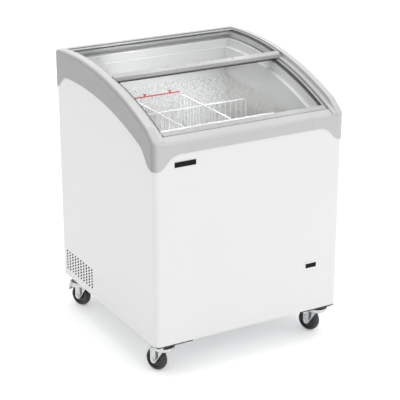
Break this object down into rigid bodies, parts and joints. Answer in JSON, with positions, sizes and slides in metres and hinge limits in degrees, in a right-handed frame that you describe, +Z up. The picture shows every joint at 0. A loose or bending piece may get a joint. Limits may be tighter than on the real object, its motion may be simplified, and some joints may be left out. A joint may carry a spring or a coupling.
{
  "type": "chest freezer",
  "caption": "Display chest freezer on swivel castors, with two curved glass lids that slide over each other, a stepped tub and lift-out wire dividers.",
  "frame": {"origin": "on the floor under the middle of the freezer", "axes": "+X to the right seen from the front, +Y to the back, +Z up; the low front of the freezer faces -Y"},
  "size_m": [0.676, 0.686, 0.909],
  "materials": {
    "cabinet_white": "white powder coat, smooth",
    "galvanised": "bare galvanised sheet",
    "foam": "rigid polyurethane foam",
    "tub_aluminium": "stucco-embossed aluminium sheet",
    "coil_copper": "copper tube",
    "throat_plastic": "light grey moulded plastic",
    "collar_plastic": "light grey moulded plastic",
    "lid_glass": "clear tempered glass",
    "lid_frame": "light grey extruded plastic",
    "divider_wire": "white plastic-coated steel wire",
    "label_red": "red printed film",
    "drain_rubber": "grey rubber plug",
    "grille_white": "white painted sheet",
    "compressor_black": "black painted steel",
    "feet_rubber": "black rubber",
    "relay_plastic": "dark plastic",
    "condenser_metal": "black painted fins and tube",
    "bracket_metal": "galvanised sheet",
    "motor_metal": "dark painted motor can",
    "blade_plastic": "black plastic",
    "knob_plastic": "black plastic",
    "gland_plastic": "black nylon",
    "bezel_plastic": "light grey plastic",
    "display_black": "black tinted window",
    "badge_black": "plain black plate",
    "plate_black": "black coated steel",
    "fork_zinc": "zinc plated steel",
    "bolt_zinc": "zinc plated steel",
    "wheel_black": "black nylon",
    "pedal_steel": "zinc plated steel"
  },
  "bodies": {
    "cabinet": {"front_panel": "cabinet_white", "side_panel_left": "cabinet_white", "side_panel_right": "cabinet_white", "rear_panel": "cabinet_white", "base_tray": "galvanised", "insulation_foam": "foam", "tub_liner": "tub_aluminium", "evaporator_coil": "coil_copper", "throat_frame": "throat_plastic", "rear_insert_panel": "throat_plastic", "load_line_label": "label_red", "drain_plug": "drain_rubber", "collar_left": "collar_plastic", "collar_right": "collar_plastic", "collar_front": "collar_plastic", "collar_rear": "collar_plastic", "rear_grille": "grille_white", "compressor": "compressor_black", "compressor_feet": "feet_rubber", "relay_box": "relay_plastic", "condenser": "condenser_metal", "fan_bracket": "bracket_metal", "fan_motor": "motor_metal", "refrigerant_lines": "coil_copper", "cable_gland": "gland_plastic", "display_bezel": "bezel_plastic", "display_window": "display_black", "badge_plate": "badge_black", "castor_plates": "plate_black", "castor_bolts": "bolt_zinc"},
    "front_lid": {"front_lid_glass": "lid_glass", "front_lid_front_rail": "lid_frame", "front_lid_rear_rail": "lid_frame", "front_lid_left_rail": "lid_frame", "front_lid_right_rail": "lid_frame"},
    "rear_lid": {"rear_lid_glass": "lid_glass", "rear_lid_front_rail": "lid_frame", "rear_lid_rear_rail": "lid_frame", "rear_lid_left_rail": "lid_frame", "rear_lid_right_rail": "lid_frame"},
    "dividers": {"divider_rear": "divider_wire", "divider_front": "divider_wire", "divider_left": "divider_wire", "divider_right": "divider_wire"},
    "fan": {"fan_blade": "blade_plastic"},
    "knob": {"thermostat_knob": "knob_plastic"},
    "castor_front_left": {"castor_fork_front_left": "fork_zinc", "castor_axle_front_left": "bolt_zinc"},
    "wheel_front_left": {"castor_wheel_front_left": "wheel_black"},
    "castor_front_right": {"castor_fork_front_right": "fork_zinc", "castor_axle_front_right": "bolt_zinc"},
    "wheel_front_right": {"castor_wheel_front_right": "wheel_black"},
    "castor_rear_left": {"castor_fork_rear_left": "fork_zinc", "castor_axle_rear_left": "bolt_zinc"},
    "wheel_rear_left": {"castor_wheel_rear_left": "wheel_black"},
    "castor_rear_right": {"castor_fork_rear_right": "fork_zinc", "castor_axle_rear_right": "bolt_zinc"},
    "wheel_rear_right": {"castor_wheel_rear_right": "wheel_black"},
    "pedal_rear_left": {"brake_pedal_rear_left": "pedal_steel"},
    "pedal_rear_right": {"brake_pedal_rear_right": "pedal_steel"}
  },
  "joints": [
    {"name": "front_lid_slide", "type": "hinge", "parent": "cabinet", "child": "front_lid", "pos_m": [0, 0.208, -0.3025], "axis": [-1, 0, 0], "range_deg": [0, 14]},
    {"name": "rear_lid_slide", "type": "hinge", "parent": "cabinet", "child": "rear_lid", "pos_m": [0, 0.208, -0.3025], "axis": [-1, 0, 0], "range_deg": [-14, 0]},
    {"name": "divider_lift", "type": "slide", "parent": "cabinet", "child": "dividers", "axis": [0, 0, 1], "range_m": [0, 0.08]},
    {"name": "fan_spin", "type": "hinge", "parent": "cabinet", "child": "fan", "pos_m": [-0.25, 0.215, 0.216], "axis": [1, 0, 0], "continuous": true},
    {"name": "thermostat_turn", "type": "hinge", "parent": "cabinet", "child": "knob", "pos_m": [0.2, 0.325, 0.27], "axis": [0, 1, 0], "range_deg": [0, 270]},
    {"name": "castor_swivel_front_left", "type": "hinge", "parent": "cabinet", "child": "castor_front_left", "pos_m": [-0.287, -0.3, 0.09], "axis": [0, 0, 1], "continuous": true},
    {"name": "wheel_spin_front_left", "type": "hinge", "parent": "castor_front_left", "child": "wheel_front_left", "pos_m": [-0.29809, -0.27213, 0.0375], "axis": [0.9291, 0.3697, 0], "continuous": true},
    {"name": "castor_swivel_front_right", "type": "hinge", "parent": "cabinet", "child": "castor_front_right", "pos_m": [0.287, -0.3, 0.09], "axis": [0, 0, 1], "continuous": true},
    {"name": "wheel_spin_front_right", "type": "hinge", "parent": "castor_front_right", "child": "wheel_front_right", "pos_m": [0.27591, -0.27213, 0.0375], "axis": [0.9291, 0.3697, 0], "continuous": true},
    {"name": "castor_swivel_rear_left", "type": "hinge", "parent": "cabinet", "child": "castor_rear_left", "pos_m": [-0.287, 0.255, 0.09], "axis": [0, 0, 1], "continuous": true},
    {"name": "wheel_spin_rear_left", "type": "hinge", "parent": "castor_rear_left", "child": "wheel_rear_left", "pos_m": [-0.29809, 0.28287, 0.0375], "axis": [0.9291, 0.3697, 0], "continuous": true},
    {"name": "castor_swivel_rear_right", "type": "hinge", "parent": "cabinet", "child": "castor_rear_right", "pos_m": [0.287, 0.255, 0.09], "axis": [0, 0, 1], "continuous": true},
    {"name": "wheel_spin_rear_right", "type": "hinge", "parent": "castor_rear_right", "child": "wheel_rear_right", "pos_m": [0.27591, 0.28287, 0.0375], "axis": [0.9291, 0.3697, 0], "continuous": true},
    {"name": "brake_press_rear_left", "type": "hinge", "parent": "castor_rear_left", "child": "pedal_rear_left", "pos_m": [-0.30845, 0.30889, 0.073], "axis": [0.9291, 0.3697, 0], "range_deg": [-12, 0]},
    {"name": "brake_press_rear_right", "type": "hinge", "parent": "castor_rear_right", "child": "pedal_rear_right", "pos_m": [0.26555, 0.30889, 0.073], "axis": [0.9291, 0.3697, 0], "range_deg": [-12, 0]}
  ]
}
